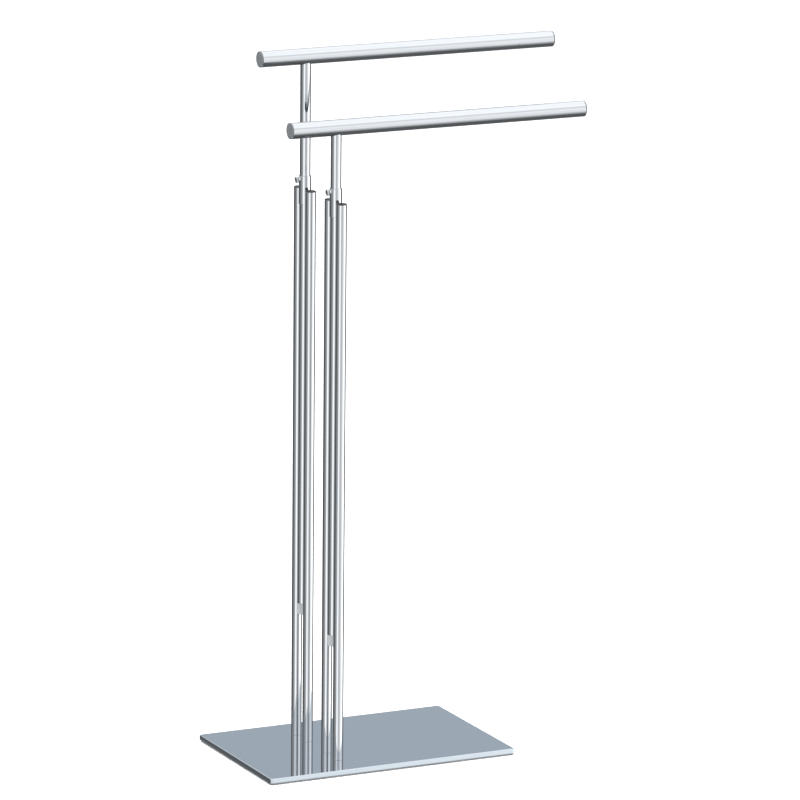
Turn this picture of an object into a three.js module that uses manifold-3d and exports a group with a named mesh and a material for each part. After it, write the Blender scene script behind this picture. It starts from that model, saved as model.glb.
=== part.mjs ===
// Free-standing chrome towel stand with two height-adjustable rails, one behind the other.
//
// A flat base plate carries two posts. Each post is a pair of fixed tubes, one in front of the
// other, with a sliding tube between them. The sliding tube carries a T-shaped rail at its top
// and is held at the chosen height by a small knurled screw in a collar at the top of the post.
//
// Millimetres. +X runs along the rails, +Y points to the back, +Z points up.
// The origin is the middle of the base's underside, on the floor.

import * as THREE from 'three';
import { mergeVertices } from 'three/addons/utils/BufferGeometryUtils.js';
import Module from 'manifold-3d';

const wasm = await Module();
wasm.setup();

// Base
const PLATE_WIDTH = 300;
const PLATE_DEPTH = 195;
const PLATE_THICKNESS = 6;
const PLATE_CORNER_RADIUS = 2;
const PLATE_EDGE_BREAK = 0.5;
const MAT_THICKNESS = 1.5;
const MAT_INSET = 3;
const MAT_HOLE_RADIUS = 8;

// Posts
const POST_X = -49;
const POST_SPACING = 80;
const TUBE_PITCH = 30;
const TUBE_RADIUS = 6;
const TUBE_WALL = 1;
const FIXED_TUBE_TOP = 634.5;

// Arms: rail heights above the floor, and where each sliding tube ends when the arm is at rest
const FRONT_RAIL_Z = 717;
const REAR_RAIL_Z = 783;
const FRONT_SLIDE_END = 147;
const REAR_SLIDE_END = 164;
const RAIL_RADIUS = 9;
const RAIL_WALL = 1.2;
const RAIL_LEFT_REACH = 56;
const RAIL_RIGHT_REACH = 303;

// Caps and plugs
const CAP_FLANGE = 1.5;
const CAP_SPIGOT = 12;
const CAP_WALL = 2;
const CAP_FLOOR = 1;
const TOP_PLUG_FLANGE = 1;
const TOP_PLUG_SPIGOT = 12;
const LEAD_IN_LENGTH = 2;
const LEAD_IN_DEPTH = 0.8;
const PLASTIC_EDGE = 0.4;

// Guide collar and clamp screw at the top of each post
const COLLAR_RADIUS = 7;
const COLLAR_ABOVE_TUBES = 15.5;
const COLLAR_BELOW_TUBES = 16;
const COLLAR_WEB_THICKNESS = 4;
const COLLAR_WEB_INSET = 1;
const CLAMP_ABOVE_TUBES = 11.5;
const CLAMP_BOSS_RADIUS = 3.2;
const CLAMP_BOSS_REACH = 8.6;
const CLAMP_SCREW_RADIUS = 1.5;
const CLAMP_HEAD_RADIUS = 3.6;
const CLAMP_HEAD_THICKNESS = 2.5;
const CLAMP_KNURLS = 20;
const CLAMP_KNURL_DEPTH = 0.3;

// Slider block at the lower end of each sliding tube
const SLIDER_RADIUS = 5.8;
const SLIDER_WING_THICKNESS = 6;
const SLIDER_WING_REACH = 12;
const SLIDER_HEIGHT = 12;
const SLIDER_SPIGOT = 18;
const SLIDER_CLEARANCE = 0.4;

// Fasteners
const BASE_SCREW_RADIUS = 2.5;
const BASE_SCREW_HEAD_RADIUS = 5;
const BASE_SCREW_LENGTH = 24;
const FOOT_INSERT_LENGTH = 22;
const STUD_RADIUS = 3;
const STUD_BELOW_RAIL = 20;
const RAIL_INSERT_LENGTH = 24;
const RAIL_NUT = new THREE.Vector3(12, 9, 5);
const SLIDER_SCREW_RADIUS = 1.8;
const SLIDER_SCREW_HEAD_RADIUS = 3.6;
const SLIDER_SCREW_HEAD = 2;
const FASTENER_CHAMFER = 0.6;
const SOCKET_RADIUS = 1.7;
const BASE_SCREW_SOCKET_DEPTH = 2;
const SLIDER_SCREW_SOCKET_DEPTH = 1.4;

// Clearance between pieces that touch or screw into each other on the real object
const GAP = 0.3;

// How far a cutting or joining tool runs past the face that it works on
const PAST = 1;

// Roundness of turned pieces
const TUBE_SEGMENTS = 32;
const SMALL_SEGMENTS = 24;

// Worked out from the driving dimensions
const PLATE_BOTTOM = MAT_THICKNESS;
const PLATE_TOP = PLATE_BOTTOM + PLATE_THICKNESS;
const TUBE_BORE = TUBE_RADIUS - TUBE_WALL;
const RAIL_BORE = RAIL_RADIUS - RAIL_WALL;
const CLAMP_Z = FIXED_TUBE_TOP + CLAMP_ABOVE_TUBES;
const SIDES = [
  { name: 'front', y: -TUBE_PITCH / 2 },
  { name: 'back', y: TUBE_PITCH / 2 },
];
const POSTS = [
  { name: 'front', y: -POST_SPACING / 2, railZ: FRONT_RAIL_Z, slideEnd: FRONT_SLIDE_END },
  { name: 'rear', y: POST_SPACING / 2, railZ: REAR_RAIL_Z, slideEnd: REAR_SLIDE_END },
];

const FINISHES = {
  chrome: { color: 0xd9dde0, roughness: 0.06, metalness: 1 },
  zinc: { color: 0xa9abad, roughness: 0.38, metalness: 1 },
  blackPlastic: { color: 0x141416, roughness: 0.35, metalness: 0 },
  greyPlastic: { color: 0x83888d, roughness: 0.42, metalness: 0 },
  paleNylon: { color: 0xc9cccd, roughness: 0.5, metalness: 0 },
  mat: { color: 0xb9bbba, roughness: 0.9, metalness: 0 },
};

// --- Solids -------------------------------------------------------------------------------

function toSolid(geometry) {
  const bare = geometry.clone();
  bare.deleteAttribute('normal');
  bare.deleteAttribute('uv');
  const merged = mergeVertices(bare, 1e-4);
  const corners = merged.index.array;
  const kept = [];
  for (let i = 0; i < corners.length; i += 3) {
    const [a, b, c] = [corners[i], corners[i + 1], corners[i + 2]];
    if (a !== b && b !== c && c !== a) kept.push(a, b, c);
  }
  return new wasm.Manifold(new wasm.Mesh({
    numProp: 3,
    vertProperties: new Float32Array(merged.attributes.position.array),
    triVerts: new Uint32Array(kept),
  }));
}

function toGeometry(solid) {
  const mesh = solid.getMesh();
  const geometry = new THREE.BufferGeometry();
  geometry.setAttribute('position', new THREE.BufferAttribute(mesh.vertProperties, 3));
  geometry.setIndex(new THREE.BufferAttribute(mesh.triVerts, 1));
  geometry.computeVertexNormals();
  return geometry;
}

function cut(geometry, ...tools) {
  return toGeometry(tools.reduce((solid, tool) => solid.subtract(toSolid(tool)), toSolid(geometry)));
}

function join(geometry, ...others) {
  return toGeometry(others.reduce((solid, other) => solid.add(toSolid(other)), toSolid(geometry)));
}

// A solid of revolution about Z. Each profile point is [radius, z], listed from the bottom up
// along the outside.
function turned(profile, segments = SMALL_SEGMENTS) {
  const points = profile.map(([radius, z]) => new THREE.Vector2(radius, z));
  return new THREE.LatheGeometry(points, segments).rotateX(Math.PI / 2);
}

function rod(radius, bottom, top, segments = SMALL_SEGMENTS) {
  return turned([[0, bottom], [radius, bottom], [radius, top], [0, top]], segments);
}

// A rod with its two ends broken by a small chamfer.
function pin(radius, bottom, top, chamfer, segments = SMALL_SEGMENTS) {
  return turned([
    [0, bottom], [radius - chamfer, bottom], [radius, bottom + chamfer],
    [radius, top - chamfer], [radius - chamfer, top], [0, top],
  ], segments);
}

function sleeve(bore, radius, bottom, top, segments = TUBE_SEGMENTS) {
  return turned([[bore, bottom], [radius, bottom], [radius, top], [bore, top], [bore, bottom]], segments);
}

// Turns a solid made about Z so that its bottom-to-top direction becomes +X.
function alongX(geometry) {
  return geometry.rotateY(Math.PI / 2);
}

function prism(shape, bottom, height, segments = 4) {
  const geometry = new THREE.ExtrudeGeometry(shape, {
    depth: height, bevelEnabled: false, curveSegments: segments,
  });
  return geometry.translate(0, 0, bottom);
}

function roundedRectangle(width, depth, radius) {
  const x = width / 2;
  const y = depth / 2;
  const shape = new THREE.Shape();
  shape.moveTo(-x + radius, -y);
  shape.lineTo(x - radius, -y);
  shape.absarc(x - radius, -y + radius, radius, -Math.PI / 2, 0);
  shape.lineTo(x, y - radius);
  shape.absarc(x - radius, y - radius, radius, 0, Math.PI / 2);
  shape.lineTo(-x + radius, y);
  shape.absarc(-x + radius, y - radius, radius, Math.PI / 2, Math.PI);
  shape.lineTo(-x, -y + radius);
  shape.absarc(-x + radius, -y + radius, radius, Math.PI, Math.PI * 1.5);
  return shape;
}

function hexagonSocket(bottom, depth) {
  return rod(SOCKET_RADIUS, bottom - PAST, bottom + depth, 6);
}

// --- Base ---------------------------------------------------------------------------------

// Calls make(x, y) for each fixed tube's foot, and returns the results.
function atEachFoot(make) {
  return POSTS.flatMap((post) => SIDES.map((side) => make(POST_X, post.y + side.y)));
}

function basePlate() {
  const shape = roundedRectangle(PLATE_WIDTH, PLATE_DEPTH, PLATE_CORNER_RADIUS);
  const blank = new THREE.ExtrudeGeometry(shape, {
    depth: PLATE_THICKNESS - 2 * PLATE_EDGE_BREAK,
    bevelThickness: PLATE_EDGE_BREAK,
    bevelSize: PLATE_EDGE_BREAK,
    bevelOffset: -PLATE_EDGE_BREAK,
    bevelSegments: 1,
    curveSegments: 4,
  }).translate(0, 0, PLATE_BOTTOM + PLATE_EDGE_BREAK);
  const holeRadius = BASE_SCREW_RADIUS + GAP;
  const sinkRadius = BASE_SCREW_HEAD_RADIUS + GAP;
  const sinkTop = PLATE_BOTTOM + GAP + sinkRadius - holeRadius;
  const holes = atEachFoot((x, y) => turned([
    [0, PLATE_BOTTOM - PAST], [sinkRadius, PLATE_BOTTOM - PAST], [sinkRadius, PLATE_BOTTOM + GAP],
    [holeRadius, sinkTop], [holeRadius, PLATE_TOP + PAST], [0, PLATE_TOP + PAST],
  ]).translate(x, y, 0));
  return cut(blank, ...holes);
}

function baseMat() {
  const shape = roundedRectangle(
    PLATE_WIDTH - 2 * MAT_INSET, PLATE_DEPTH - 2 * MAT_INSET, PLATE_CORNER_RADIUS,
  );
  const holes = atEachFoot(
    (x, y) => rod(MAT_HOLE_RADIUS, -PAST, MAT_THICKNESS + PAST).translate(x, y, 0),
  );
  return cut(prism(shape, 0, MAT_THICKNESS - GAP), ...holes);
}

function baseScrew() {
  const bottom = PLATE_BOTTOM + GAP;
  const coneTop = bottom + BASE_SCREW_HEAD_RADIUS - BASE_SCREW_RADIUS;
  const top = bottom + BASE_SCREW_LENGTH;
  const body = turned([
    [0, bottom], [BASE_SCREW_HEAD_RADIUS, bottom], [BASE_SCREW_RADIUS, coneTop],
    [BASE_SCREW_RADIUS, top - FASTENER_CHAMFER], [BASE_SCREW_RADIUS - FASTENER_CHAMFER, top], [0, top],
  ]);
  return cut(body, hexagonSocket(bottom, BASE_SCREW_SOCKET_DEPTH));
}

function footInsert() {
  const bottom = PLATE_TOP + GAP;
  return sleeve(
    BASE_SCREW_RADIUS + GAP, TUBE_BORE - GAP, bottom, bottom + FOOT_INSERT_LENGTH, SMALL_SEGMENTS,
  );
}

// --- Posts --------------------------------------------------------------------------------

function fixedTube() {
  return sleeve(TUBE_BORE, TUBE_RADIUS, PLATE_TOP + GAP, FIXED_TUBE_TOP);
}

function topPlug() {
  const seat = FIXED_TUBE_TOP + GAP;
  const top = seat + TOP_PLUG_FLANGE;
  const end = seat - TOP_PLUG_SPIGOT;
  const spigot = TUBE_BORE - GAP;
  return turned([
    [0, end], [spigot - LEAD_IN_DEPTH, end], [spigot, end + LEAD_IN_LENGTH], [spigot, seat],
    [TUBE_RADIUS, seat], [TUBE_RADIUS, top - PLASTIC_EDGE], [TUBE_RADIUS - PLASTIC_EDGE, top], [0, top],
  ]);
}

// The room that the two fixed tubes take up, with some clearance round them.
function fixedTubeClearance(clearance, bottom, top) {
  return SIDES.map(
    (side) => rod(TUBE_RADIUS + clearance, bottom, top, TUBE_SEGMENTS).translate(0, side.y, 0),
  );
}

// The collar guides the sliding tube between the two fixed tubes. Two webs join it to them, and
// a boss on its left takes the clamp screw.
function guideCollar() {
  const bottom = FIXED_TUBE_TOP - COLLAR_BELOW_TUBES;
  const top = FIXED_TUBE_TOP + COLLAR_ABOVE_TUBES;
  const webHeight = COLLAR_BELOW_TUBES - 2 * COLLAR_WEB_INSET;
  const web = new THREE.BoxGeometry(COLLAR_WEB_THICKNESS, TUBE_PITCH, webHeight)
    .translate(0, 0, bottom + COLLAR_WEB_INSET + webHeight / 2);
  const boss = alongX(rod(CLAMP_BOSS_RADIUS, -CLAMP_BOSS_REACH, 0)).translate(0, 0, CLAMP_Z);
  const blank = join(rod(COLLAR_RADIUS, bottom, top, TUBE_SEGMENTS), web, boss);
  const bore = rod(TUBE_RADIUS + GAP, bottom - PAST, top + PAST, TUBE_SEGMENTS);
  const thread = alongX(rod(CLAMP_SCREW_RADIUS + GAP, -CLAMP_BOSS_REACH - PAST, 0))
    .translate(0, 0, CLAMP_Z);
  return cut(blank, bore, thread, ...fixedTubeClearance(GAP, 0, FIXED_TUBE_TOP + PAST));
}

// The outline of the knurled head: a circle with shallow round grooves.
function knurledOutline(radius, knurls, depth) {
  const shape = new THREE.Shape();
  const steps = knurls * 2;
  for (let i = 0; i < steps; i += 1) {
    const angle = (i / steps) * Math.PI * 2;
    const r = i % 2 === 0 ? radius : radius - depth;
    if (i === 0) shape.moveTo(r, 0);
    else shape.lineTo(r * Math.cos(angle), r * Math.sin(angle));
  }
  shape.closePath();
  return shape;
}

// Made about the screw's own axis, pointing along +X, with its tip beside the sliding tube.
function clampScrew() {
  const headBack = CLAMP_BOSS_REACH + GAP;
  const headFace = headBack + CLAMP_HEAD_THICKNESS;
  const head = prism(
    knurledOutline(CLAMP_HEAD_RADIUS, CLAMP_KNURLS, CLAMP_KNURL_DEPTH), -headFace, CLAMP_HEAD_THICKNESS,
  );
  const shank = pin(CLAMP_SCREW_RADIUS, -headBack - PAST, -TUBE_RADIUS - GAP, GAP);
  return alongX(join(head, shank));
}

// --- Arms ---------------------------------------------------------------------------------

// A cylinder along X that shapes the top of the sliding tube to sit under the rail.
function railSeat(post) {
  return alongX(rod(RAIL_RADIUS + GAP, -2 * RAIL_RADIUS, 2 * RAIL_RADIUS, TUBE_SEGMENTS))
    .translate(0, 0, post.railZ);
}

function slidingTube(post) {
  return cut(sleeve(TUBE_BORE, TUBE_RADIUS, post.slideEnd, post.railZ), railSeat(post));
}

function railInsert(post) {
  const top = post.railZ - RAIL_RADIUS;
  const bottom = top - RAIL_INSERT_LENGTH;
  const blank = sleeve(STUD_RADIUS + GAP, TUBE_BORE - GAP, bottom, post.railZ, SMALL_SEGMENTS);
  return cut(blank, railSeat(post));
}

function rail(post) {
  const left = -RAIL_LEFT_REACH + CAP_FLANGE + GAP;
  const right = RAIL_RIGHT_REACH - CAP_FLANGE - GAP;
  const tube = alongX(sleeve(RAIL_BORE, RAIL_RADIUS, left, right)).translate(0, 0, post.railZ);
  const studHole = rod(STUD_RADIUS + GAP, post.railZ - 2 * RAIL_RADIUS, post.railZ);
  return cut(tube, studHole);
}

// The left end cap, with its face towards -X and a hollow spigot inside the rail.
function railCap() {
  const spigot = RAIL_BORE - GAP;
  const depth = CAP_FLANGE + CAP_SPIGOT;
  const hollow = spigot - CAP_WALL;
  const floor = CAP_FLANGE + CAP_FLOOR;
  return alongX(turned([
    [0, 0], [RAIL_RADIUS - PLASTIC_EDGE, 0], [RAIL_RADIUS, PLASTIC_EDGE], [RAIL_RADIUS, CAP_FLANGE],
    [spigot, CAP_FLANGE], [spigot, depth - LEAD_IN_LENGTH], [spigot - LEAD_IN_DEPTH, depth],
    [hollow, depth], [hollow, floor], [0, floor],
  ])).translate(-RAIL_LEFT_REACH, 0, 0);
}

// The nut strip lies inside the rail, over the hole for the stud.
function railNut(post) {
  const bottom = post.railZ - Math.sqrt(RAIL_BORE ** 2 - (RAIL_NUT.y / 2) ** 2) + GAP;
  const block = new THREE.BoxGeometry(RAIL_NUT.x, RAIL_NUT.y, RAIL_NUT.z)
    .translate(0, 0, bottom + RAIL_NUT.z / 2);
  return cut(block, rod(STUD_RADIUS + GAP, bottom - PAST, bottom + RAIL_NUT.z + PAST));
}

function railStud(post) {
  const bottom = post.railZ - RAIL_RADIUS - STUD_BELOW_RAIL;
  return pin(STUD_RADIUS, bottom, post.railZ, FASTENER_CHAMFER);
}

// The slider block closes the lower end of the sliding tube. A wing on each side reaches towards a
// fixed tube and is hollowed to fit round it, so the arm can rise but not turn.
function sliderBlock(post) {
  const top = post.slideEnd - GAP;
  const bottom = top - SLIDER_HEIGHT;
  const spigotTop = top + SLIDER_SPIGOT;
  const wings = new THREE.BoxGeometry(SLIDER_WING_THICKNESS, 2 * SLIDER_WING_REACH, SLIDER_HEIGHT)
    .translate(0, 0, (top + bottom) / 2);
  const body = join(
    wings,
    rod(SLIDER_RADIUS, bottom, top, TUBE_SEGMENTS),
    rod(TUBE_BORE - GAP, top - PAST, spigotTop),
  );
  const tubes = fixedTubeClearance(SLIDER_CLEARANCE, bottom - PAST, top + PAST);
  const screwHole = rod(SLIDER_SCREW_RADIUS + GAP, bottom - PAST, spigotTop + PAST);
  const headHole = rod(
    SLIDER_SCREW_HEAD_RADIUS + GAP, bottom - PAST, bottom + SLIDER_SCREW_HEAD + GAP,
  );
  return cut(body, ...tubes, screwHole, headHole);
}

function sliderScrew(post) {
  const bottom = post.slideEnd - GAP - SLIDER_HEIGHT;
  const headTop = bottom + SLIDER_SCREW_HEAD;
  const top = post.slideEnd + SLIDER_SPIGOT - LEAD_IN_LENGTH;
  const body = turned([
    [0, bottom], [SLIDER_SCREW_HEAD_RADIUS - FASTENER_CHAMFER, bottom],
    [SLIDER_SCREW_HEAD_RADIUS, bottom + FASTENER_CHAMFER], [SLIDER_SCREW_HEAD_RADIUS, headTop],
    [SLIDER_SCREW_RADIUS, headTop], [SLIDER_SCREW_RADIUS, top - LEAD_IN_LENGTH], [0, top],
  ]);
  return cut(body, hexagonSocket(bottom, SLIDER_SCREW_SOCKET_DEPTH));
}

// --- Assembly -----------------------------------------------------------------------------

function piece(name, geometry, finish) {
  const mesh = new THREE.Mesh(geometry, new THREE.MeshStandardMaterial(FINISHES[finish]));
  mesh.name = name;
  return mesh;
}

function postGroup(post) {
  const group = new THREE.Group();
  group.position.set(POST_X, post.y, 0);
  for (const side of SIDES) {
    const prefix = `${post.name}_post_${side.name}`;
    const pieces = [
      piece(`${prefix}_tube`, fixedTube(), 'chrome'),
      piece(`${prefix}_foot_insert`, footInsert(), 'zinc'),
      piece(`${prefix}_base_screw`, baseScrew(), 'zinc'),
      piece(`${prefix}_top_plug`, topPlug(), 'blackPlastic'),
    ];
    for (const mesh of pieces) {
      mesh.position.y = side.y;
      group.add(mesh);
    }
  }
  const screw = piece(`${post.name}_clamp_screw`, clampScrew(), 'chrome');
  screw.position.z = CLAMP_Z;
  group.add(piece(`${post.name}_guide_collar`, guideCollar(), 'chrome'), screw);
  return group;
}

function armGroup(post) {
  const group = new THREE.Group();
  group.position.set(POST_X, post.y, 0);
  const leftCap = piece(`${post.name}_rail_left_cap`, railCap(), 'greyPlastic');
  leftCap.position.z = post.railZ;
  const rightCap = piece(`${post.name}_rail_right_cap`, railCap(), 'greyPlastic');
  rightCap.rotation.z = Math.PI;
  rightCap.position.set(RAIL_RIGHT_REACH - RAIL_LEFT_REACH, 0, post.railZ);
  group.add(
    piece(`${post.name}_sliding_tube`, slidingTube(post), 'chrome'),
    piece(`${post.name}_rail`, rail(post), 'chrome'),
    leftCap,
    rightCap,
    piece(`${post.name}_rail_insert`, railInsert(post), 'zinc'),
    piece(`${post.name}_rail_nut`, railNut(post), 'zinc'),
    piece(`${post.name}_rail_stud`, railStud(post), 'zinc'),
    piece(`${post.name}_slider_block`, sliderBlock(post), 'paleNylon'),
    piece(`${post.name}_slider_screw`, sliderScrew(post), 'zinc'),
  );
  return group;
}

const towelStand = new THREE.Group();
towelStand.add(piece('base_plate', basePlate(), 'chrome'), piece('base_mat', baseMat(), 'mat'));
for (const post of POSTS) {
  towelStand.add(postGroup(post), armGroup(post));
}

export default towelStand;
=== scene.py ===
import math

import bmesh
import bpy
from mathutils import Matrix, Vector


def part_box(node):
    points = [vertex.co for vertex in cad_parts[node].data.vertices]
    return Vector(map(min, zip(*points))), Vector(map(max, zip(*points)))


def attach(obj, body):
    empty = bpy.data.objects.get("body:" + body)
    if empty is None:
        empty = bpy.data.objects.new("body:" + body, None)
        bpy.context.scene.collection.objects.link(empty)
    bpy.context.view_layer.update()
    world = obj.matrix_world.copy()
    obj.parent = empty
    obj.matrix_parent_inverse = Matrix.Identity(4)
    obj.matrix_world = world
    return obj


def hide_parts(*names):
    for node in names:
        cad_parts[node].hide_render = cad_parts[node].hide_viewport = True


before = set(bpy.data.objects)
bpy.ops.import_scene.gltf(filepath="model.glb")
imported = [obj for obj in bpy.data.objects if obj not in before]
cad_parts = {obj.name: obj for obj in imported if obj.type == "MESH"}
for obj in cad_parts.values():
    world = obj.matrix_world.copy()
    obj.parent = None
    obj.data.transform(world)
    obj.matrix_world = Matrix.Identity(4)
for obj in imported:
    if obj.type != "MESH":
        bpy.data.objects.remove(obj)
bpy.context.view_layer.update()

MM = 0.001

# Camera, as an angle round the object, in degrees, and a long lens a few metres away
CAMERA_AZIMUTH = -25.8
CAMERA_ELEVATION = 12.9
CAMERA_ROLL = 0.53
CAMERA_DISTANCE = 6.827
CAMERA_FOCAL_MM = 277.5
CAMERA_SENSOR_MM = 36.0
CAMERA_SIGHT = 100.0
CAMERA_AIM = Vector((0.0399, -0.0216, 0.4013))

# Fineness of the round surfaces
TUBE_SEGMENTS = 128
FITTING_SEGMENTS = 96
SMALL_SEGMENTS = 64
SCREW_SEGMENTS = 48
BORE_SEGMENTS = 32
HEXAGON = 6

# Details that are shared by several pieces and finer than the CAD solids
CONTACT_GAP = 0.05 * MM
RIM_RADIUS = 0.35 * MM
INNER_RIM_RADIUS = 0.2 * MM
MOULDED_EDGE_RADIUS = 0.4 * MM
CAP_DOME = 0.25 * MM
POST_WALL = MM
OVERRUN = MM  # how far a cutter reaches past the solid that it cuts

POSTS = ("front", "rear")
SIDES = ("front", "back")
FOOT_PREFIXES = [f"{post}_post_{side}" for post in POSTS for side in SIDES]


# --- Materials ------------------------------------------------------------------------------

class Nodes:
    """A short way to write a node tree: each call adds a node and links its inputs."""

    def __init__(self, tree):
        self.tree = tree
        tree.nodes.clear()

    def add(self, kind, inputs=None, **settings):
        node = self.tree.nodes.new(kind)
        for key, value in settings.items():
            setattr(node, key, value)
        for key, value in (inputs or {}).items():
            self.feed(node.inputs[key], value)
        return node

    def feed(self, socket, value):
        if isinstance(value, bpy.types.NodeSocket):
            self.tree.links.new(value, socket)
        else:
            socket.default_value = value

    def place(self):
        """The piece's own coordinates."""
        return self.add("ShaderNodeTexCoord").outputs["Object"]

    def noise(self, vector, scale, detail=3.0, roughness=0.5):
        node = self.add(
            "ShaderNodeTexNoise",
            {"Vector": vector, "Scale": scale, "Detail": detail, "Roughness": roughness},
        )
        return node.outputs["Fac"]

    def cells(self, vector, scale):
        node = self.add("ShaderNodeTexVoronoi", {"Vector": vector, "Scale": scale}, feature="F1")
        return node.outputs["Distance"]

    def stretched(self, vector, scale):
        node = self.add("ShaderNodeMapping", {"Vector": vector, "Scale": scale})
        return node.outputs["Vector"]

    def ramp(self, factor, low, high, to_low=0.0, to_high=1.0):
        node = self.add(
            "ShaderNodeMapRange",
            {"Value": factor, "From Min": low, "From Max": high, "To Min": to_low, "To Max": to_high},
        )
        return node.outputs["Result"]

    def math(self, operation, a, b):
        return self.add("ShaderNodeMath", {0: a, 1: b}, operation=operation).outputs["Value"]

    def mix(self, factor, a, b):
        node = self.add("ShaderNodeMix", data_type="RGBA")
        self.feed(node.inputs["Factor"], factor)
        self.feed(node.inputs[6], a)
        self.feed(node.inputs[7], b)
        return node.outputs[2]

    def bump(self, height, distance, strength, normal=None):
        inputs = {"Height": height, "Distance": distance, "Strength": strength}
        if normal is not None:
            inputs["Normal"] = normal
        return self.add("ShaderNodeBump", inputs).outputs["Normal"]


def new_material(name):
    material = bpy.data.materials.new(name)
    material.use_nodes = True
    nodes = Nodes(material.node_tree)
    shader = nodes.add("ShaderNodeBsdfPrincipled")
    output = nodes.add("ShaderNodeOutputMaterial")
    nodes.tree.links.new(shader.outputs["BSDF"], output.inputs["Surface"])
    return material, nodes, shader.inputs


def rgb(red, green, blue):
    return (red, green, blue, 1.0)


def chrome(name, bright, shaded, stretch, roughness):
    """Polished chrome plate: faint polishing lines along the piece, small smudges that raise the
    roughness, and a very slight waviness of the metal under the plating."""
    material, nodes, surface = new_material(name)
    place = nodes.place()
    lines = nodes.noise(nodes.stretched(place, stretch), scale=1.0, detail=4.0, roughness=0.6)
    smudge = nodes.noise(place, scale=38.0, detail=5.0, roughness=0.62)
    specks = nodes.noise(place, scale=2600.0, detail=2.0)
    wear = nodes.ramp(smudge, 0.52, 0.78, to_high=0.55)
    tone = nodes.math("MAXIMUM", nodes.ramp(lines, 0.35, 0.75, to_high=0.6), wear)
    nodes.feed(surface["Base Color"], nodes.mix(tone, bright, shaded))
    nodes.feed(surface["Metallic"], 1.0)
    line_grain = nodes.ramp(lines, 0.3, 0.8, to_high=0.02)
    speck_grain = nodes.ramp(specks, 0.6, 0.8, to_high=0.03)
    grain = nodes.math("ADD", line_grain, speck_grain)
    haze = nodes.math("ADD", grain, nodes.ramp(smudge, 0.5, 0.8, to_high=0.05))
    nodes.feed(surface["Roughness"], nodes.math("ADD", haze, roughness))
    swell = nodes.noise(place, scale=55.0, detail=1.0)
    waves = nodes.bump(swell, distance=0.012 * MM, strength=0.35)
    relief = nodes.bump(lines, distance=0.0006 * MM, strength=0.5, normal=waves)
    nodes.feed(surface["Normal"], relief)
    return material


def zinc():
    """Bright zinc plate on a steel fastener: a faint iridescent yellow and blue, and a fine grain."""
    material, nodes, surface = new_material("zinc")
    place = nodes.place()
    patches = nodes.noise(place, scale=240.0)
    grain = nodes.noise(place, scale=3200.0, detail=2.0)
    yellow, blue = rgb(0.60, 0.61, 0.58), rgb(0.52, 0.56, 0.62)
    nodes.feed(surface["Base Color"], nodes.mix(nodes.ramp(patches, 0.38, 0.62), yellow, blue))
    nodes.feed(surface["Metallic"], 1.0)
    nodes.feed(surface["Roughness"], nodes.ramp(grain, 0.3, 0.7, to_low=0.26, to_high=0.44))
    nodes.feed(surface["Normal"], nodes.bump(grain, distance=0.01 * MM, strength=0.5))
    return material


def plastic(name, light, dark, roughness, spark, grain_depth):
    """Moulded plastic: a fine spark-eroded grain, slow colour drift and dust-like wear."""
    material, nodes, surface = new_material(name)
    place = nodes.place()
    grain = nodes.noise(place, scale=spark, detail=2.0, roughness=0.55)
    drift = nodes.noise(place, scale=90.0)
    along_z = nodes.stretched(place, (900.0, 900.0, 160.0))
    rub = nodes.noise(along_z, scale=1.0, detail=4.0, roughness=0.65)
    faded = nodes.ramp(drift, 0.3, 0.7, to_high=0.6)
    worn = nodes.ramp(rub, 0.62, 0.8, to_high=0.4)
    nodes.feed(surface["Base Color"], nodes.mix(nodes.math("ADD", faded, worn), dark, light))
    sheen = nodes.ramp(rub, 0.3, 0.75, to_low=roughness - 0.07, to_high=roughness + 0.1)
    nodes.feed(surface["Roughness"], sheen)
    nodes.feed(surface["Specular IOR Level"], 0.3)
    nodes.feed(surface["Normal"], nodes.bump(grain, distance=grain_depth, strength=0.6))
    return material


def foam():
    """Closed-cell foam rubber: small cells, a matt surface and a slight mottle. It is a pale foam, made
    lighter still as painted light, so that its edge in the shade under the plate reads pale.
    """
    material, nodes, surface = new_material("foam_rubber_painted_light")
    place = nodes.place()
    cells = nodes.cells(place, scale=1400.0)
    mottle = nodes.noise(place, scale=120.0, detail=4.0)
    # Pale foam tones, raised above the foam's own colour: painted light for the mat's edge in the shade
    # under the plate
    dull, fresh, hollow = rgb(0.66, 0.67, 0.67), rgb(0.74, 0.75, 0.75), rgb(0.52, 0.53, 0.53)
    tone = nodes.mix(nodes.ramp(mottle, 0.3, 0.7), dull, fresh)
    depth = nodes.ramp(cells, 0.1, 0.5, to_high=0.5)
    nodes.feed(surface["Base Color"], nodes.mix(depth, tone, hollow))
    nodes.feed(surface["Roughness"], nodes.ramp(mottle, 0.3, 0.7, to_low=0.82, to_high=0.95))
    nodes.feed(surface["Normal"], nodes.bump(cells, distance=0.12 * MM, strength=0.7))
    return material


BRIGHT = rgb(0.60, 0.61, 0.62)
SHADED = rgb(0.52, 0.53, 0.545)
PLATE_BRIGHT = rgb(0.56, 0.605, 0.645)
PLATE_SHADED = rgb(0.51, 0.555, 0.60)

# How tightly the polishing lines are packed along X, Y and Z
LINES_ALONG_Z = (1500.0, 1500.0, 9.0)
LINES_ALONG_X = (9.0, 1500.0, 1500.0)
PLATE_LINES = (14.0, 420.0, 420.0)
KNOB_LINES = (400.0, 400.0, 400.0)

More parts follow.
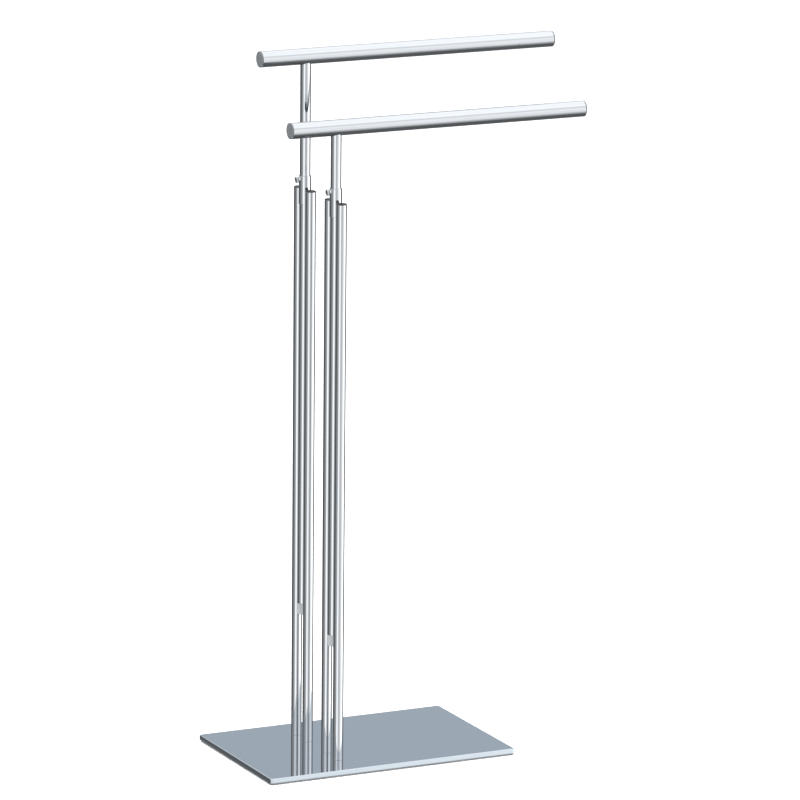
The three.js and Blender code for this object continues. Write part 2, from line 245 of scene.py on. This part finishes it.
MATERIALS = {
    "upright_chrome": chrome("upright_chrome", BRIGHT, SHADED, LINES_ALONG_Z, roughness=0.02),
    "rail_chrome": chrome("rail_chrome", BRIGHT, SHADED, LINES_ALONG_X, roughness=0.02),
    "plate_chrome": chrome("plate_chrome", PLATE_BRIGHT, PLATE_SHADED, PLATE_LINES, roughness=0.02),
    "knob_chrome": chrome("knob_chrome", BRIGHT, SHADED, KNOB_LINES, roughness=0.07),
    "zinc": zinc(),
    "black_plastic": plastic(
        "black_plastic", light=rgb(0.018, 0.018, 0.020), dark=rgb(0.008, 0.008, 0.009),
        roughness=0.34, spark=2400.0, grain_depth=0.02 * MM,
    ),
    "grey_plastic": plastic(
        "grey_plastic", light=rgb(0.150, 0.158, 0.166), dark=rgb(0.120, 0.127, 0.135),
        roughness=0.40, spark=1900.0, grain_depth=0.03 * MM,
    ),
    # Nylon darker than its own pale colour: painted shade for the slider block, which sits in shade between
    # the tubes
    "pale_nylon": plastic(
        "pale_nylon", light=rgb(0.385, 0.400, 0.410), dark=rgb(0.325, 0.340, 0.350),
        roughness=0.45, spark=1700.0, grain_depth=0.03 * MM,
    ),
    "foam": foam(),
}


# --- Mesh building --------------------------------------------------------------------------

ON_AXIS = 1e-7
SHARP_EDGE = 35  # degrees
SUPPORT = 1.25  # how far a support point stands from its corner, in lengths of the arc's reach


def rounded(points, steps=5):
    """Rounds the corners of a closed outline. Each point is (radius, height, corner radius). A support
    point beside each arc keeps the long straight stretches flat when they are shaded smooth."""
    longest_reach, longest_support = 0.4, 0.45
    result = []
    for i, (x, y, radius) in enumerate(points):
        corner = Vector((x, y))
        if radius <= 0:
            result.append(corner)
            continue
        before = Vector(points[i - 1][:2]) - corner
        after = Vector(points[(i + 1) % len(points)][:2]) - corner
        half = before.angle(after) / 2
        shorter = min(before.length, after.length)
        reach = min(radius / math.tan(half), longest_reach * shorter)
        support = min(SUPPORT * reach, longest_support * before.length)
        result.append(corner + before.normalized() * support)
        start = corner + before.normalized() * reach
        end = corner + after.normalized() * reach
        for k in range(steps + 1):
            t = k / steps
            result.append(start * (1 - t) ** 2 + corner * 2 * t * (1 - t) + end * t ** 2)
        support = min(SUPPORT * reach, longest_support * after.length)
        result.append(corner + after.normalized() * support)
    return [(point.x, point.y) for point in result]


def bar(radius, bottom, top):
    """The outline of a plain cylinder."""
    return [(0, bottom), (radius, bottom), (radius, top), (0, top)]


def sleeve(bore, radius, bottom, top, edges):
    """The outline of a tube. Its four edge radii start inside at the bottom and go round by the outside."""
    corners = ((bore, bottom), (radius, bottom), (radius, top), (bore, top))
    return rounded([(*corner, edge) for corner, edge in zip(corners, edges)])


def ribs(stem, crest, start, peak, end):
    """The outline of three grip ribs round a spigot. Each rises from the stem to the crest at peak and
    is back at the stem at end."""
    outline = []
    for k in range(3):
        z = start + 3 * k * MM
        outline += [(stem, z, 0), (crest, z + peak, 0.1 * MM), (stem, z + end, 0)]
    return outline


def object_from(bm, name):
    bmesh.ops.recalc_face_normals(bm, faces=bm.faces)
    mesh = bpy.data.meshes.new(name)
    bm.to_mesh(mesh)
    bm.free()
    obj = bpy.data.objects.new(name, mesh)
    bpy.context.scene.collection.objects.link(obj)
    return obj


def turned(name, profile, place, segments=SMALL_SEGMENTS, shape=None):
    """Turns a closed outline of (radius, height) about the local Z axis. A stretch on the axis becomes
    one point. shape(radius, height, angle) may give another radius and height, for a coped end or a
    knurl."""
    bm = bmesh.new()
    rings = []
    for radius, height in profile:
        if radius < ON_AXIS:
            rings.append([bm.verts.new(place @ Vector((0, 0, height)))])
            continue
        ring = []
        for k in range(segments):
            angle = 2 * math.pi * k / segments
            r, z = shape(radius, height, angle) if shape else (radius, height)
            ring.append(bm.verts.new(place @ Vector((r * math.cos(angle), r * math.sin(angle), z))))
        rings.append(ring)
    for ring, following in zip(rings, rings[1:] + rings[:1]):
        for k in range(segments):
            n = (k + 1) % segments
            corners = [ring[k % len(ring)], ring[n % len(ring)]]
            corners += [following[n % len(following)], following[k % len(following)]]
            unique = list(dict.fromkeys(corners))
            if len(unique) > 2:
                bm.faces.new(unique)
    return object_from(bm, name)


def prism(name, outline, bottom, top):
    """A closed solid with the given (x, y) outline, from bottom to top."""
    bm = bmesh.new()
    low = [bm.verts.new((x, y, bottom)) for x, y in outline]
    high = [bm.verts.new((x, y, top)) for x, y in outline]
    bm.faces.new(low)
    bm.faces.new(high)
    for i in range(len(outline)):
        n = (i + 1) % len(outline)
        bm.faces.new((low[i], low[n], high[n], high[i]))
    return object_from(bm, name)


def rectangle(low_x, high_x, low_y, high_y):
    return [(low_x, low_y), (high_x, low_y), (high_x, high_y), (low_x, high_y)]


def rounded_rectangle(low, high, radius, steps=8):
    corners = ((high.x, high.y, 0), (low.x, high.y, 90), (low.x, low.y, 180), (high.x, low.y, 270))
    centre = middle(low, high)
    outline = []
    for x, y, turn in corners:
        centre_x = x - math.copysign(radius, x - centre.x)
        centre_y = y - math.copysign(radius, y - centre.y)
        for k in range(steps + 1):
            angle = math.radians(turn + 90 * k / steps)
            outline.append((centre_x + radius * math.cos(angle), centre_y + radius * math.sin(angle)))
    return outline


def apply_modifiers(obj):
    bpy.context.view_layer.update()
    graph = bpy.context.evaluated_depsgraph_get()
    mesh = bpy.data.meshes.new_from_object(obj.evaluated_get(graph))
    obj.modifiers.clear()
    obj.data = mesh


def combine(obj, others, operation):
    """Joins other solids to obj, or cuts them from it, and deletes them."""
    for other in others:
        modifier = obj.modifiers.new(operation.lower(), "BOOLEAN")
        modifier.operation = operation
        modifier.solver = "EXACT"
        modifier.object = other
    apply_modifiers(obj)
    for other in others:
        bpy.data.objects.remove(other)


def soften(obj, width, segments=3):
    """Rounds the sharp edges."""
    modifier = obj.modifiers.new("soften", "BEVEL")
    modifier.width = width
    modifier.segments = segments
    modifier.limit_method = "ANGLE"
    modifier.angle_limit = math.radians(SHARP_EDGE)
    modifier.use_clamp_overlap = True
    apply_modifiers(obj)


def shade(obj, angle):
    """Smooth shading up to an angle in degrees, but flat on the many-sided faces that are level or
    face along X or Y."""
    mesh = obj.data
    mesh.shade_smooth()
    mesh.set_sharp_from_angle(angle=math.radians(angle))
    along_an_axis = 1 - 1e-6
    for face in mesh.polygons:
        if max(abs(part) for part in face.normal) > along_an_axis and len(face.vertices) > 4:
            face.use_smooth = False


def piece(obj, node, body, material, smooth=38):
    """Gives a finished mesh its material, and makes it stand for a CAD node on its body."""
    shade(obj, smooth)
    obj.data.materials.clear()
    obj.data.materials.append(MATERIALS[material])
    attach(obj, body)
    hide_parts(node)


def upright(centre):
    """A frame on the floor below the given point, whose Z axis points up."""
    return Matrix.Translation((centre.x, centre.y, 0))


def along_x(centre, flip=False):
    """A frame at the given point, whose Z axis points along +X, or along -X when flipped."""
    return Matrix.Translation(centre) @ Matrix.Rotation(math.radians(-90 if flip else 90), 4, "Y")


def middle(low, high):
    return (low + high) / 2


def fixed_tube_cutters(post, clearance, bottom, top):
    """Cylinders in the places of a post's fixed tubes, wider than the tubes by the clearance."""
    cutters = []
    for side in SIDES:
        low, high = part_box(f"{post}_post_{side}_tube")
        outline = bar((high.x - low.x) / 2 + clearance, bottom, top)
        cutters.append(turned("cutter", outline, upright(middle(low, high)), FITTING_SEGMENTS))
    return cutters


# --- Base -----------------------------------------------------------------------------------

PLATE_CORNER_RADIUS = 2 * MM
PLATE_EDGE_RADIUS = 0.8 * MM
PLATE_HOLE_RADIUS = 2.8 * MM
HEAD_CLEARANCE = 0.3 * MM

MAT_CORNER_RADIUS = 3 * MM
MAT_EDGE_RADIUS = 0.3 * MM
MAT_HOLE_RADIUS = 8 * MM

THREAD_START = 9 * MM
THREAD_PITCH = 0.8 * MM
THREAD_DEPTH = 0.32 * MM


def base_plate():
    low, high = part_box("base_plate")
    outline = rounded_rectangle(low, high, PLATE_CORNER_RADIUS)
    plate = prism("base_plate_piece", outline, low.z, high.z)
    soften(plate, PLATE_EDGE_RADIUS, segments=5)
    cutters = []
    for prefix in FOOT_PREFIXES:
        head_low, head_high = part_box(f"{prefix}_base_screw")
        head = (head_high.x - head_low.x) / 2 + HEAD_CLEARANCE
        hole = PLATE_HOLE_RADIUS
        profile = [
            (0, low.z - OVERRUN), (head, low.z - OVERRUN), (head, head_low.z),
            (hole, head_low.z + head - hole), (hole, high.z + OVERRUN), (0, high.z + OVERRUN),
        ]
        cutters.append(turned("cutter", profile, upright(middle(head_low, head_high))))
    combine(plate, cutters, "DIFFERENCE")
    piece(plate, "base_plate", "stand", "plate_chrome")


def base_mat():
    low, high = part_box("base_mat")
    outline = rounded_rectangle(low, high, MAT_CORNER_RADIUS)
    mat = prism("base_mat_piece", outline, low.z, high.z)
    soften(mat, MAT_EDGE_RADIUS)
    hole = bar(MAT_HOLE_RADIUS, low.z - OVERRUN, high.z + OVERRUN)
    cutters = []
    for prefix in FOOT_PREFIXES:
        cutters.append(turned("cutter", hole, upright(middle(*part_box(f"{prefix}_base_screw")))))
    combine(mat, cutters, "DIFFERENCE")
    piece(mat, "base_mat", "stand", "foam")


def base_screw(node):
    """A countersunk screw with a thread and a hexagonal socket. Its head is at the bottom."""
    low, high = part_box(node)
    place = upright(middle(low, high))
    head = (high.x - low.x) / 2
    shank = head / 2
    root = shank - THREAD_DEPTH
    neck = low.z + head - shank
    thread_start = low.z + THREAD_START
    profile = rounded([
        (0, low.z, 0), (head, low.z, 0.15 * MM), (shank, neck, 0.3 * MM),
        (shank, thread_start, 0), (0, high.z, 0),
    ])[:-1]
    turns = int((high.z - THREAD_PITCH - thread_start) / THREAD_PITCH)
    for k in range(turns):
        for radius, share in ((root, 0.3), (root, 0.5), (shank, 0.9), (shank, 1)):
            profile.append((radius, thread_start + (k + share) * THREAD_PITCH))
    tip = shank - 0.7 * MM
    profile += [(tip, high.z), (0, high.z)]
    screw = turned(f"{node}_piece", profile, place, SCREW_SEGMENTS)
    socket_radius, socket_depth, socket_point = 1.7 * MM, 1.9 * MM, 2.6 * MM
    socket = [
        (0, low.z - OVERRUN), (socket_radius, low.z - OVERRUN),
        (socket_radius, low.z + socket_depth), (0, low.z + socket_point),
    ]
    combine(screw, [turned("socket", socket, place, HEXAGON)], "DIFFERENCE")
    piece(screw, node, "stand", "zinc", smooth=30)


# --- Posts ----------------------------------------------------------------------------------

BOSS_RADIUS = 3.2 * MM
WEB_HEIGHT = 14 * MM
WEB_HALF_THICKNESS = 2 * MM
CLAMP_THREAD_RADIUS = 1.65 * MM

KNOB_LENGTH = 2.5 * MM
KNURLS = 26
KNURL_SEGMENTS = 6
KNURL_DEPTH = 0.32 * MM
KNURL_SHARPNESS = 1.4


def fixed_tube(node, plate_top):
    low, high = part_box(node)
    radius = (high.x - low.x) / 2
    edges = (0.1 * MM, 0.2 * MM, RIM_RADIUS, INNER_RIM_RADIUS)
    profile = sleeve(radius - POST_WALL, radius, plate_top + CONTACT_GAP, high.z, edges)
    tube = turned(f"{node}_piece", profile, upright(middle(low, high)), TUBE_SEGMENTS)
    piece(tube, node, "stand", "upright_chrome")


def top_plug(node, tube_node):
    """A pressed-in plug with a slightly domed head, a moulding mark in its middle and grip ribs."""
    low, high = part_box(node)
    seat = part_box(tube_node)[1].z + CONTACT_GAP
    radius = (high.x - low.x) / 2
    spigot = radius - 1.25 * MM
    stem = spigot - 0.5 * MM
    outline = [(0, low.z, 0), (spigot - MM, low.z, 0.2 * MM), (stem, low.z + 1.5 * MM, 0)]
    outline += ribs(stem, spigot, low.z + 2.5 * MM, 0.9 * MM, 1.2 * MM)
    outline += [
        (stem, seat, 0), (radius - 0.1 * MM, seat, 0.1 * MM),
        (radius, high.z - 2 * CAP_DOME, MOULDED_EDGE_RADIUS),
        (0.7 * radius, high.z - 0.3 * CAP_DOME, 2 * MM),
    ]
    mark_radius, mark_slope, mark_depth = 1.0 * MM, 0.15 * MM, 0.15 * MM
    profile = rounded(outline, steps=6) + [
        (0.35 * radius, high.z), (mark_radius, high.z),
        (mark_radius - mark_slope, high.z - mark_depth), (0, high.z - mark_depth),
    ]
    plug = turned(f"{node}_piece", profile, upright(middle(low, high)))
    piece(plug, node, "stand", "black_plastic")


def guide_collar(post):
    """A ring round the sliding tube, with a boss for the clamp screw and a web to each fixed tube."""
    node = f"{post}_guide_collar"
    low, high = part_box(node)
    tube_low, tube_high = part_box(f"{post}_sliding_tube")
    axis = middle(tube_low, tube_high)
    radius = high.x - axis.x
    bore = (tube_high.x - tube_low.x) / 2 + 0.2 * MM
    edges = (0.15 * MM, 0.3 * MM, RIM_RADIUS, INNER_RIM_RADIUS)
    ring = sleeve(bore, radius, low.z, high.z, edges)
    collar = turned(f"{node}_piece", ring, upright(axis), FITTING_SEGMENTS)

    reach = axis.x - low.x
    root = middle(bore, radius)
    boss = rounded([
        (0, root, 0), (BOSS_RADIUS + 0.25 * MM, root, 0), (BOSS_RADIUS, radius + 0.5 * MM, 0.5 * MM),
        (BOSS_RADIUS, reach, 0.3 * MM), (0, reach, 0),
    ])
    screw_line = along_x((axis.x, axis.y, middle(*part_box(f"{post}_clamp_screw")).z), flip=True)
    additions = [turned("boss", boss, screw_line, SCREW_SEGMENTS)]

    front_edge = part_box(f"{post}_post_front_tube")[1].y
    back_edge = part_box(f"{post}_post_back_tube")[0].y
    inner = bore + 0.3 * MM
    outer = (back_edge - front_edge) / 2 + 1.2 * MM
    web_bottom = low.z + MM
    for direction in (-1, 1):
        outline = rectangle(
            axis.x - WEB_HALF_THICKNESS, axis.x + WEB_HALF_THICKNESS,
            axis.y + direction * inner, axis.y + direction * outer,
        )
        additions.append(prism("web", outline, web_bottom, web_bottom + WEB_HEIGHT))
    combine(collar, additions, "UNION")

    cutters = fixed_tube_cutters(post, CONTACT_GAP, low.z - OVERRUN, high.z)
    thread = bar(CLAMP_THREAD_RADIUS, 0, reach + OVERRUN)
    cutters.append(turned("cutter", thread, screw_line, BORE_SEGMENTS))
    combine(collar, cutters, "DIFFERENCE")
    piece(collar, node, "stand", "upright_chrome", smooth=30)


def clamp_screw(post):
    """A thumb screw with a straight knurl between two plain chamfers, and a shallow dish in its face."""
    node = f"{post}_clamp_screw"
    low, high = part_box(node)
    centre = middle(low, high)
    axis = middle(*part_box(f"{post}_sliding_tube"))
    radius = (high.z - low.z) / 2
    shank = 1.5 * MM
    chamfer = 0.45 * MM
    rim = radius - chamfer
    tip, face = axis.x - high.x, axis.x - low.x
    back = face - KNOB_LENGTH
    profile = [
        (0, tip), (1.1 * MM, tip), (shank, tip + 0.35 * MM), (shank, back - 0.2 * MM),
        (shank + 0.2 * MM, back), (rim - KNURL_DEPTH, back), (rim, back + 0.1 * MM),
        (radius, back + chamfer), (radius, face - chamfer), (rim, face - 0.1 * MM),
        (rim - 0.15 * MM, face), (radius - 1.1 * MM, face),
        (radius - 1.5 * MM, face - 0.3 * MM), (0, face - 0.35 * MM),
    ]

    def knurled(ring_radius, height, angle):
        if ring_radius < radius:
            return ring_radius, height
        along = KNURLS * angle / (2 * math.pi) % 1
        return radius - KNURL_DEPTH * abs(2 * along - 1) ** KNURL_SHARPNESS, height

    place = along_x((axis.x, centre.y, centre.z), flip=True)
    screw = turned(f"{node}_piece", profile, place, KNURLS * KNURL_SEGMENTS, knurled)
    piece(screw, node, f"{post}_clamp", "knob_chrome", smooth=24)


# --- Arms -----------------------------------------------------------------------------------

RAIL_WALL = 1.2 * MM
RAIL_HOLE_RADIUS = 3.3 * MM
RAIL_OVERLAP = 0.3 * MM  # how far each end runs past the CAD rail, towards its cap
COPE_DEPTH = 5 * MM

CAP_FLANGE = 1.5 * MM

WING_HALF_THICKNESS = 3 * MM
SLIDER_SPIGOT_RADIUS = 4.75 * MM
SLIDER_HOLE_RADIUS = 2.1 * MM
SLIDER_SINK_RADIUS = 3.9 * MM
SLIDER_SINK_DEPTH = 2.3 * MM


def sliding_tube(post):
    """Its top is shaped to the underside of the rail."""
    node = f"{post}_sliding_tube"
    low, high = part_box(node)
    rail_low, rail_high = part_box(f"{post}_rail")
    rail_radius = (rail_high.z - rail_low.z) / 2 + CONTACT_GAP
    cope = middle(rail_low, rail_high).z - rail_radius
    radius = (high.x - low.x) / 2

    def coped(ring_radius, height, angle):
        if height < cope - COPE_DEPTH:
            return ring_radius, height
        y = ring_radius * math.sin(angle)
        return ring_radius, height + rail_radius - math.sqrt(rail_radius ** 2 - y ** 2)

    edges = (0.1 * MM, 0.2 * MM, 0.12 * MM, 0.1 * MM)
    profile = sleeve(radius - POST_WALL, radius, low.z, cope, edges)
    tube = turned(f"{node}_piece", profile, upright(middle(low, high)), TUBE_SEGMENTS, coped)
    piece(tube, node, f"{post}_arm", "upright_chrome")


def rail(post):
    node = f"{post}_rail"
    low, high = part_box(node)
    centre = middle(low, high)
    radius = (high.z - low.z) / 2
    half = (high.x - low.x) / 2 + RAIL_OVERLAP - CONTACT_GAP
    edges = (INNER_RIM_RADIUS, RIM_RADIUS, RIM_RADIUS, INNER_RIM_RADIUS)
    profile = sleeve(radius - RAIL_WALL, radius, -half, half, edges)
    tube = turned(f"{node}_piece", profile, along_x(centre), TUBE_SEGMENTS)
    post_axis = middle(*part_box(f"{post}_sliding_tube"))
    hole = bar(RAIL_HOLE_RADIUS, low.z - OVERRUN, centre.z)
    combine(tube, [turned("cutter", hole, upright(post_axis), SCREW_SEGMENTS)], "DIFFERENCE")
    piece(tube, node, f"{post}_arm", "rail_chrome")


def rail_cap(post, side):
    """A moulded cap: a face with a soft edge and a shallow ring, and a ribbed hollow spigot."""
    node = f"{post}_rail_{side}_cap"
    low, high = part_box(node)
    centre = middle(low, high)
    radius = (high.z - low.z) / 2
    length = high.x - low.x
    spigot = radius - 1.5 * MM
    stem = spigot - 0.4 * MM
    hollow = spigot - 2 * MM
    ring = 0.8 * radius
    outline = [
        (0, 0, 0), (ring - 0.35 * MM, 0.02 * MM, 0), (ring - 0.2 * MM, 0.14 * MM, 0),
        (ring, 0.14 * MM, 0), (ring + 0.15 * MM, 0.06 * MM, 0),
        (radius, CAP_DOME, MOULDED_EDGE_RADIUS), (radius, CAP_FLANGE - CONTACT_GAP, 0.1 * MM),
        (stem, CAP_FLANGE, 0),
    ]
    outline += ribs(stem, spigot, CAP_FLANGE + 2 * MM, 0.3 * MM, 1.4 * MM)
    floor_depth = CAP_FLANGE + MM
    outline += [
        (spigot - 0.9 * MM, length, 0.2 * MM), (hollow, length, 0.2 * MM),
        (hollow, floor_depth, 0.4 * MM), (0, floor_depth, 0),
    ]
    end = low.x if side == "left" else high.x
    place = along_x((end, centre.y, centre.z), flip=side == "right")
    cap = turned(f"{node}_piece", rounded(outline, steps=6), place, FITTING_SEGMENTS)
    piece(cap, node, f"{post}_arm", "grey_plastic", smooth=30)


def slider_block(post):
    """A nylon block that closes the tube, with a wing on each side that fits round a fixed tube."""
    node = f"{post}_slider_block"
    low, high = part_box(node)
    axis = middle(low, high)
    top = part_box(f"{post}_sliding_tube")[0].z - CONTACT_GAP
    radius = (high.x - low.x) / 2
    body = rounded([(0, low.z, 0), (radius, low.z, 0.6 * MM), (radius, top, 0.2 * MM), (0, top, 0)])
    block = turned(f"{node}_piece", body, upright(axis), FITTING_SEGMENTS)

    outline = rectangle(axis.x - WING_HALF_THICKNESS, axis.x + WING_HALF_THICKNESS, low.y, high.y)
    inset = 0.2 * MM
    wings = prism("wings", outline, low.z + inset, top - inset)
    cutters = fixed_tube_cutters(post, 0.4 * MM, low.z - OVERRUN, top + OVERRUN)
    combine(wings, cutters, "DIFFERENCE")
    soften(wings, 0.3 * MM)

    spigot_start = top - MM
    spigot = rounded([
        (0, spigot_start, 0), (SLIDER_SPIGOT_RADIUS, spigot_start, 0),
        (SLIDER_SPIGOT_RADIUS, high.z, 0.5 * MM), (0, high.z, 0),
    ])
    combine(block, [wings, turned("spigot", spigot, upright(axis))], "UNION")

    sink = low.z + SLIDER_SINK_DEPTH
    hole = [
        (0, low.z - OVERRUN), (SLIDER_SINK_RADIUS, low.z - OVERRUN), (SLIDER_SINK_RADIUS, sink),
        (SLIDER_HOLE_RADIUS, sink), (SLIDER_HOLE_RADIUS, high.z + OVERRUN), (0, high.z + OVERRUN),
    ]
    combine(block, [turned("cutter", hole, upright(axis))], "DIFFERENCE")
    # The block's nylon colour holds painted shade
    piece(block, node, f"{post}_arm", "pale_nylon", smooth=30)


# --- Kept CAD nodes -------------------------------------------------------------------------

def hidden_fasteners():
    names = [f"{prefix}_foot_insert" for prefix in FOOT_PREFIXES]
    for post in POSTS:
        for name in ("rail_insert", "rail_nut", "rail_stud", "slider_screw"):
            names.append(f"{post}_{name}")
    return names


def finish_kept_nodes():
    for name in hidden_fasteners():
        for material_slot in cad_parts[name].material_slots:
            material_slot.link = "OBJECT"
            material_slot.material = MATERIALS["zinc"]


# --- Stage, light and camera ----------------------------------------------------------------

FLOOR_SIZE = 40.0
OVERHEAD_SIZE = 6.0
OVERHEAD_HEIGHT = 4.0
OVERHEAD_POWER = 330.0

# What the chrome sees: compass angle from +Y towards +X, and brightness. In front there are a pale wall
# and two bright soft boxes, and behind a grey wall and two dark flags, which are fainter higher up.
LOW_RING = (
    (-180, 0.86), (-153, 0.74),                            # front wall
    (-145, 1.75), (-119, 1.50),                            # soft box at the front left
    (-110, 0.56), (-72, 0.36),                             # left wall
    (-64, 0.13), (-18, 0.16),                              # wide flag at the back left
    (-11, 0.48), (26, 0.56), (43, 0.44),                   # back wall
    (50, 0.03), (69, 0.04),                                # narrow flag at the back right
    (77, 0.26), (102, 0.19),                               # right wall
    (109, 2.70), (137, 2.25),                              # soft box at the front right
    (147, 1.36), (165, 1.24), (174, 0.90),                 # front wall
)
HIGH_RING = (
    (-180, 0.86), (-153, 0.78),
    (-145, 1.50), (-119, 1.40),
    (-110, 0.66), (-60, 0.46),
    (-50, 0.20), (-18, 0.22),
    (-9, 0.52), (26, 0.575), (42, 0.52),
    (51, 0.24), (69, 0.26),
    (79, 0.40), (102, 0.42),
    (111, 1.62), (137, 1.56),
    (147, 1.42), (165, 1.42), (174, 0.90),
)
SURROUND_STRENGTH = 2.6

# Heights are the upward part of the direction. The low ring gives way to the high one just above the
# horizon. Each band starts at its first height and is full at its second, and the third is its brightness.
HORIZON = (0.02, 0.06)
BANDS = (
    (-0.32, -0.80, 0.15),  # dark ground
    (0.34, 0.40, 1.15),    # lighter cornice
    (0.60, 0.66, 1.60),    # bright ceiling
    (0.90, 0.95, 1.00),    # less bright straight above
)

# The surround is a little blue, and bluest behind the object
TINT = 0.03
RING_TINT = 0.025
BLUEST_TINT = 0.10
BLUEST = 26
BLUE_REACH = 40


def floor():
    bm = bmesh.new()
    bmesh.ops.create_grid(bm, x_segments=1, y_segments=1, size=FLOOR_SIZE / 2)
    plane = object_from(bm, "floor")
    plane.location.z = -CONTACT_GAP
    material, nodes, surface = new_material("pale_floor")
    nodes.feed(surface["Base Color"], rgb(0.93, 0.93, 0.93))
    nodes.feed(surface["Roughness"], 0.9)
    nodes.feed(surface["Specular IOR Level"], 0.1)
    plane.data.materials.append(material)
    plane.visible_glossy = False


def overhead_light():
    light = bpy.data.lights.new("overhead", "AREA")
    light.shape = "SQUARE"
    light.size = OVERHEAD_SIZE
    light.energy = OVERHEAD_POWER
    obj = bpy.data.objects.new("overhead", light)
    obj.location.z = OVERHEAD_HEIGHT
    obj.visible_glossy = False
    bpy.context.scene.collection.objects.link(obj)


def cool(brightness, tint=TINT):
    """A share of the surround's strength, a little blue by the given tint."""
    share = brightness / SURROUND_STRENGTH
    return rgb(share * (1 - tint), share, share * (1 + tint))


def compass_ring(nodes, turn, stops):
    """A colour ramp round the compass that ends as it starts."""
    node = nodes.add("ShaderNodeValToRGB", {"Fac": turn})
    ramp = node.color_ramp
    ramp.interpolation = "LINEAR"
    while len(ramp.elements) > 1:
        ramp.elements.remove(ramp.elements[-1])
    for i, (degrees, brightness) in enumerate(stops + ((180, stops[0][1]),)):
        position = (degrees + 180) / 360
        element = ramp.elements[0] if i == 0 else ramp.elements.new(position)
        element.position = position
        tint = BLUEST_TINT if abs(degrees - BLUEST) < BLUE_REACH else RING_TINT
        element.color = cool(brightness, tint)
    return node.outputs["Color"]


def studio_world():
    """Plain white for the camera and for soft light. What shines sees a plain studio: the two rings
    all round, and the bands above and below them."""
    world = bpy.data.worlds.new("studio")
    bpy.context.scene.world = world
    world.use_nodes = True
    nodes = Nodes(world.node_tree)
    direction = nodes.add("ShaderNodeTexCoord").outputs["Generated"]
    parts = nodes.add("ShaderNodeSeparateXYZ", {"Vector": direction}).outputs
    turn = nodes.ramp(nodes.math("ARCTAN2", parts["X"], parts["Y"]), -math.pi, math.pi)
    low_ring, high_ring = (compass_ring(nodes, turn, stops) for stops in (LOW_RING, HIGH_RING))
    studio = nodes.mix(nodes.ramp(parts["Z"], *HORIZON), low_ring, high_ring)
    for start, full, brightness in BANDS:
        studio = nodes.mix(nodes.ramp(parts["Z"], start, full), studio, cool(brightness))
    reflected = nodes.add("ShaderNodeLightPath").outputs["Is Glossy Ray"]
    white = 1 / SURROUND_STRENGTH
    seen = nodes.mix(reflected, rgb(white, white, white), studio)
    background = nodes.add("ShaderNodeBackground", {"Color": seen, "Strength": SURROUND_STRENGTH})
    output = nodes.add("ShaderNodeOutputWorld")
    nodes.tree.links.new(background.outputs["Background"], output.inputs["Surface"])


def camera():
    azimuth = math.radians(-CAMERA_AZIMUTH)
    elevation = math.radians(CAMERA_ELEVATION)
    level = math.cos(elevation)
    forward = Vector((math.sin(azimuth) * level, math.cos(azimuth) * level, -math.sin(elevation)))
    data = bpy.data.cameras.new("camera")
    data.sensor_width = CAMERA_SENSOR_MM
    data.lens = CAMERA_FOCAL_MM
    data.clip_end = CAMERA_SIGHT
    obj = bpy.data.objects.new("camera", data)
    look = forward.to_track_quat("-Z", "Y").to_matrix().to_4x4()
    roll = Matrix.Rotation(math.radians(CAMERA_ROLL), 4, "Z")
    obj.matrix_world = Matrix.Translation(CAMERA_AIM - forward * CAMERA_DISTANCE) @ look @ roll
    bpy.context.scene.collection.objects.link(obj)
    bpy.context.scene.camera = obj


# --- Everything -----------------------------------------------------------------------------

floor()
studio_world()
overhead_light()
camera()
bpy.context.scene.view_settings.view_transform = "Standard"

base_plate()
base_mat()
PLATE_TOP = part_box("base_plate")[1].z
for prefix in FOOT_PREFIXES:
    fixed_tube(f"{prefix}_tube", PLATE_TOP)
    top_plug(f"{prefix}_top_plug", f"{prefix}_tube")
    base_screw(f"{prefix}_base_screw")
for post in POSTS:
    guide_collar(post)
    clamp_screw(post)
    sliding_tube(post)
    rail(post)
    slider_block(post)
    for side in ("left", "right"):
        rail_cap(post, side)
finish_kept_nodes()
